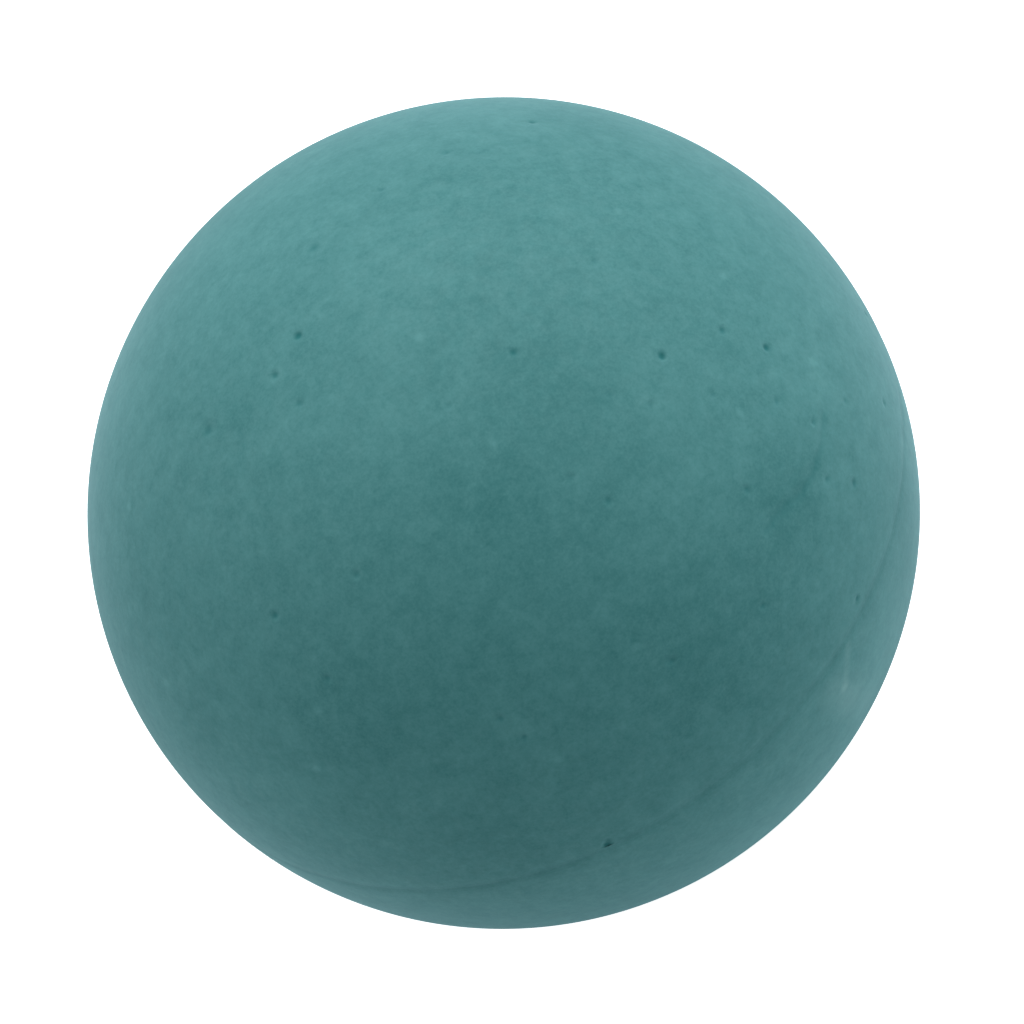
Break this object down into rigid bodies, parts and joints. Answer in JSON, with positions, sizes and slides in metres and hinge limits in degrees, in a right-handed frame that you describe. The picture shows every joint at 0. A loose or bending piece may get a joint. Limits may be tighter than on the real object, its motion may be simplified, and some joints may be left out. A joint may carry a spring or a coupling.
{
  "type": "beach paddle ball",
  "caption": "Small hollow rubber ball for beach paddle games, matt teal, moulded as half shells cemented rim to rim at a fine seam.",
  "frame": {"origin": "centre of the ball, in the plane of the seam", "axes": "+Z along the axis of the half shells, towards the pole of the half shell that faces the picture's camera; X and Y lie in the seam plane and are free"},
  "size_m": [0.04, 0.04, 0.0398],
  "materials": {
    "shell_rubber": "matt moulded rubber, lightly buffed",
    "seam_cement": "matt cured rubber cement"
  },
  "bodies": {
    "root": {"upper_half_shell": "shell_rubber", "lower_half_shell": "shell_rubber", "seam_cement": "seam_cement"}
  },
  "joints": []
}
